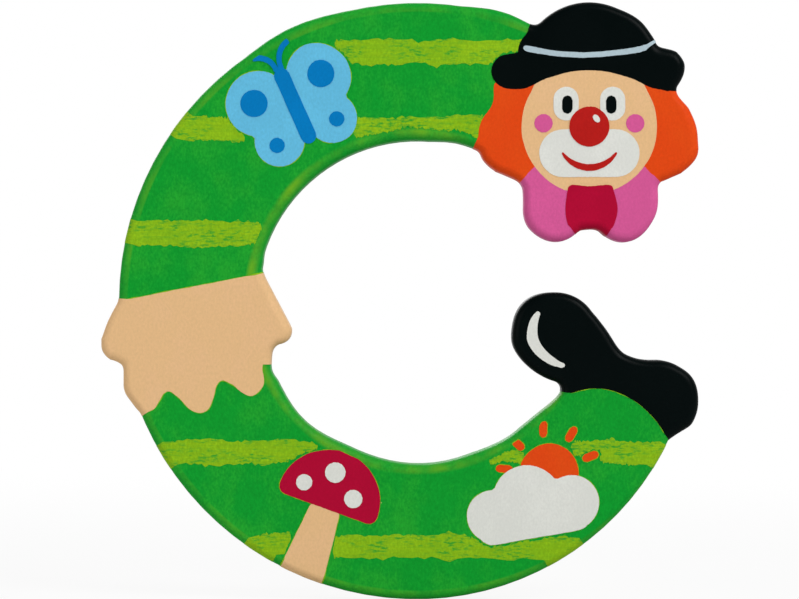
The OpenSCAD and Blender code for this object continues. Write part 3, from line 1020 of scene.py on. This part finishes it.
def ring_glow(tree):
    """A mask for the thin green at both edges of the flat, stronger at the inner one."""
    place = add_node(tree, "TexCoord")
    from_middle = add_node(tree, "Mapping", Location=(-RING_X, 0, 0))
    flat = add_node(tree, "VectorMath", operation="MULTIPLY")
    flat.inputs[1].default_value = (1, 0, 1)
    length = add_node(tree, "VectorMath", operation="LENGTH")
    tree.links.new(place.outputs["Object"], from_middle.inputs["Vector"])
    tree.links.new(from_middle.outputs["Vector"], flat.inputs[0])
    tree.links.new(flat.outputs["Vector"], length.inputs[0])
    radius = length.outputs["Value"]
    patchy = ramp(tree, object_noise(tree, PATCH_SCALE), *PATCH_RAMP)
    inner_ramp = ramp(tree, radius, FLAT_IN_R + GLOW_IN, FLAT_IN_R)
    inner = math_node(tree, "MULTIPLY", inner_ramp, GLOW_IN_AMOUNT)
    inner_end = ramp(tree, radius, HOLLOW_R, FLAT_IN_R)
    outer_ramp = ramp(tree, radius, FLAT_OUT_R - GLOW_OUT, FLAT_OUT_R)
    outer = math_node(tree, "MULTIPLY", outer_ramp, GLOW_OUT_AMOUNT)
    outer_end = ramp(tree, radius, RING_R, FLAT_OUT_R)
    inner_glow = math_node(tree, "MULTIPLY", inner, inner_end)
    outer_glow = math_node(tree, "MULTIPLY", outer, outer_end)
    both = math_node(tree, "ADD", inner_glow, outer_glow)
    return math_node(tree, "MULTIPLY", both, patchy)


paints["green_paint"], tree, shader, colour = paint(
    "green_paint", GREEN, blotch=GREEN_BLOTCH, speck=GREEN_SPECK, blotches=0.75, grain=0.6)
tree.links.new(mix_colours(tree, ring_glow(tree), colour, LIME), shader.inputs["Base Color"])
print("glow reaches", round(GLOW_IN / MM, 2), "mm in from the hollow's flat edge")

# %% Dry-brushed lime
LIME_BLOTCH = rgb(0.29, 0.50, 0.010)
LIME_STREAK = rgb(0.12, 0.37, 0.012)
STREAK_SCALE = (160, 160, 3400)
STREAK_RAMP = (0.35, 0.7)
STREAK_AMOUNT = 0.35
CLUSTER_SCALE = (170, 170, 420)
CLUSTER_RAMP = (0.38, 0.62)
SKIP_SCALE = (800, 800, 2600)
SKIP_DETAIL = 4.0
SKIP_RAMP = (0.47, 0.64)
SKIP_AMOUNT = 0.85

paints["lime_paint"], tree, shader, colour = paint(
    "lime_paint", LIME, blotch=LIME_BLOTCH, grain=0.7, roughness=0.5)
streaks = ramp(tree, object_noise(tree, STREAK_SCALE), *STREAK_RAMP)
streaked = mix_colours(tree, math_node(tree, "MULTIPLY", streaks, STREAK_AMOUNT), colour, LIME_STREAK)
clusters = ramp(tree, object_noise(tree, CLUSTER_SCALE), *CLUSTER_RAMP)
skips = ramp(tree, object_noise(tree, SKIP_SCALE, detail=SKIP_DETAIL), *SKIP_RAMP)
skipped = math_node(tree, "MULTIPLY", math_node(tree, "MULTIPLY", skips, clusters), SKIP_AMOUNT)
tree.links.new(mix_colours(tree, skipped, streaked, GREEN), shader.inputs["Base Color"])
print("lime paint:", len(tree.nodes), "nodes")

# %% [markdown]
# ## Bare wood and foam
# The back is bare birch ply: pale, with upright grain in the outer plies and a darker core between them,
# which shows at the rounded back edge. The foam of the tape is white with fine cells.

# %% Plywood
PLY_PALE = rgb(0.62, 0.43, 0.24)
PLY_DARK = rgb(0.45, 0.27, 0.13)
FIBRE_SCALE = (900, 900, 25)
FIBRE_DETAIL = 5.0
FIBRE_SHARE = 0.4
RINGS_SCALE = (160, 160, 9)
RINGS_DETAIL = 2.0
RINGS_SHARE = 0.6
PLY_RAMP = (0.3, 0.7)
PLY_ROUGHNESS_RAMP = (-0.6, 1.4)
PLY_BUMP_STRENGTH = 0.5
PLY_BUMP_DEPTH = 0.04 * MM
GLUE_LINE = 0.05 * MM
CORE_FACTOR = 0.75

paints["plywood"], tree, shader = new_material("plywood")
fibres = object_noise(tree, FIBRE_SCALE, detail=FIBRE_DETAIL)
rings = object_noise(tree, RINGS_SCALE, detail=RINGS_DETAIL)
fibre_part = math_node(tree, "MULTIPLY", fibres, FIBRE_SHARE)
figure = math_node(tree, "MULTIPLY_ADD", rings, RINGS_SHARE, fibre_part)
face_colour = mix_colours(tree, ramp(tree, figure, *PLY_RAMP), PLY_PALE, PLY_DARK)
ply_place = add_node(tree, "TexCoord")
depth = add_node(tree, "SeparateXYZ")
tree.links.new(ply_place.outputs["Object"], depth.inputs["Vector"])
core_mask = ramp(tree, depth.outputs["Y"], core_high.y + GLUE_LINE, core_high.y - GLUE_LINE)
core_colour = lighter(PLY_DARK, CORE_FACTOR)
tree.links.new(mix_colours(tree, core_mask, face_colour, core_colour), shader.inputs["Base Color"])
bump = add_node(tree, "Bump", Strength=PLY_BUMP_STRENGTH, Distance=PLY_BUMP_DEPTH)
tree.links.new(fibres, bump.inputs["Height"])
tree.links.new(bump.outputs["Normal"], shader.inputs["Normal"])
tree.links.new(ramp(tree, fibres, *PLY_ROUGHNESS_RAMP), shader.inputs["Roughness"])
print("plywood:", len(tree.nodes), "nodes")

# %% Foam
FOAM_PALE = rgb(0.82, 0.82, 0.78)
FOAM_SHADE = rgb(0.66, 0.66, 0.62)
FOAM_CELLS = 4500
FOAM_BUMP_STRENGTH = 0.6
FOAM_BUMP_DEPTH = 0.06 * MM
FOAM_ROUGHNESS = 0.8

paints["foam_tape"], tree, shader = new_material("foam_tape")
foam_place = add_node(tree, "TexCoord")
foam_cells = add_node(tree, "TexVoronoi", Scale=FOAM_CELLS)
tree.links.new(foam_place.outputs["Object"], foam_cells.inputs["Vector"])
foam_colour = mix_colours(tree, foam_cells.outputs["Distance"], FOAM_PALE, FOAM_SHADE)
tree.links.new(foam_colour, shader.inputs["Base Color"])
bump = add_node(tree, "Bump", Strength=FOAM_BUMP_STRENGTH, Distance=FOAM_BUMP_DEPTH)
tree.links.new(foam_cells.outputs["Distance"], bump.inputs["Height"])
tree.links.new(bump.outputs["Normal"], shader.inputs["Normal"])
shader.inputs["Roughness"].default_value = FOAM_ROUGHNESS
print(len(paints), "finishes")

# %% [markdown]
# ## Dressing the frame
# Each film stands for its CAD coat and takes the finish that the record names for it. The board stands for
# all three plies.

# %% Finish, body and node of each piece
slot_of = {part["node"]: part["material_slot"] for part in frame["record"]["subparts"]}


def dress(piece, *nodes):
    """Gives a piece its finish, hangs it under the root body and hides the CAD nodes that it stands for."""
    slot = slot_of[nodes[0]]
    piece.data.materials.clear()
    piece.data.materials.append(paints[slot])
    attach(piece, "root")
    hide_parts(*nodes)


for node, piece in {**films, **tapes}.items():
    dress(piece, node)
dress(board, "front_ply", "core_ply", "back_ply")
print(len(films) + len(tapes) + 1, "pieces dressed")

# %% [markdown]
# ## Studio
# The photograph looks straight at the letter, with very soft light from the top right and a white surround.
# The floor and the world are white to the camera, and the floor still takes a faint shadow. A third lamp
# lights the bare back, which the photograph does not show.

# %% Floor
FLOOR_SIZE = 4.0
FLOOR_Z = cad_box[0].z
FLOOR_GREY = 0.6
FLOOR_ROUGHNESS = 0.9
NEAR_COVER = 0.9
FAR_COVER = 0.1
SHADOW_ENDS = (0.1, 0.45)

bpy.ops.object.select_all(action="DESELECT")
bpy.ops.mesh.primitive_plane_add(size=FLOOR_SIZE, location=(0, 0, FLOOR_Z))
floor = bpy.context.object
floor.name = "studio_floor"
material, tree, shader = new_material("studio_floor")
shader.inputs["Base Color"].default_value = grey(FLOOR_GREY)
shader.inputs["Roughness"].default_value = FLOOR_ROUGHNESS
white = add_node(tree, "Emission", Color=grey(1.0), Strength=1.0)
rays = add_node(tree, "LightPath")
seen = math_node(tree, "MAXIMUM", rays.outputs["Is Camera Ray"], rays.outputs["Is Transmission Ray"])
spot = add_node(tree, "TexCoord")
reach = add_node(tree, "VectorMath", operation="LENGTH")
tree.links.new(spot.outputs["Object"], reach.inputs[0])
far = ramp(tree, reach.outputs["Value"], *SHADOW_ENDS)
cover = math_node(tree, "MULTIPLY_ADD", far, FAR_COVER, NEAR_COVER)
blend = add_node(tree, "MixShader")
tree.links.new(math_node(tree, "MULTIPLY", seen, cover), blend.inputs[0])
tree.links.new(shader.outputs["BSDF"], blend.inputs[1])
tree.links.new(white.outputs["Emission"], blend.inputs[2])
tree.links.new(blend.outputs["Shader"], tree.nodes["Material Output"].inputs["Surface"])
floor.data.materials.append(material)
print("floor at", round(FLOOR_Z / MM, 2), "mm")

# %% Surround
AMBIENT = 0.5
MIRRORED_FRONT = 0.04
BEHIND_RAMP = (-0.1, 0.6)

world = bpy.data.worlds.new("studio")
bpy.context.scene.world = world
world.use_nodes = True
tree = world.node_tree
background = tree.nodes["Background"]
rays = add_node(tree, "LightPath")
heading = add_node(tree, "TexCoord")
parts = add_node(tree, "SeparateXYZ")
tree.links.new(heading.outputs["Generated"], parts.inputs["Vector"])
behind = ramp(tree, parts.outputs["Y"], *BEHIND_RAMP)
shiny = math_node(tree, "MAXIMUM", rays.outputs["Is Glossy Ray"], rays.outputs["Is Transmission Ray"])
dim = mix_colours(tree, shiny, grey(AMBIENT), grey(MIRRORED_FRONT))
mirrored = mix_colours(tree, math_node(tree, "MULTIPLY", shiny, behind), dim, grey(1.0))
surround = mix_colours(tree, rays.outputs["Is Camera Ray"], mirrored, grey(1.0))
tree.links.new(surround, background.inputs["Color"])
print("surround:", len(tree.nodes), "nodes")

# %% Lamps
VIEW_MIDDLE = Vector((39.0 * MM, FRONT_Y, 0.3 * MM))
LAMPS = {
    "key_lamp": {"place": (1.05, -1.1, 1.1), "size": 0.9, "power": 22.0},
    "fill_lamp": {"place": (-1.4, -1.15, 0.15), "size": 1.3, "power": 9.2},
    "back_lamp": {"place": (-0.5, 1.4, 0.8), "size": 1.0, "power": 12.0},
}


def aim(thing, target):
    """Points a lamp or the camera at a place."""
    thing.rotation_euler = (target - thing.location).to_track_quat("-Z", "Y").to_euler()


def lamp(name, place, size, power):
    """A soft square lamp aimed at the letter."""
    data = bpy.data.lights.new(name, "AREA")
    data.size = size
    data.energy = power
    light = bpy.data.objects.new(name, data)
    bpy.context.scene.collection.objects.link(light)
    light.location = place
    aim(light, VIEW_MIDDLE)


for name, values in LAMPS.items():
    lamp(name, **values)
print(len(LAMPS), "lamps")

# %% Camera
VIEW_W = 146.7 * MM
VIEW_DISTANCE = 0.6
CLIP_START = 0.01

camera_data = bpy.data.cameras.new("camera")
camera = bpy.data.objects.new("camera", camera_data)
bpy.context.scene.collection.objects.link(camera)
camera.location = VIEW_MIDDLE - Vector((0, VIEW_DISTANCE, 0))
aim(camera, VIEW_MIDDLE)
camera_data.lens = camera_data.sensor_width * VIEW_DISTANCE / VIEW_W
camera_data.clip_start = CLIP_START
bpy.context.scene.camera = camera
bpy.context.scene.view_settings.view_transform = "Standard"
print("lens", round(camera_data.lens, 1), "mm")
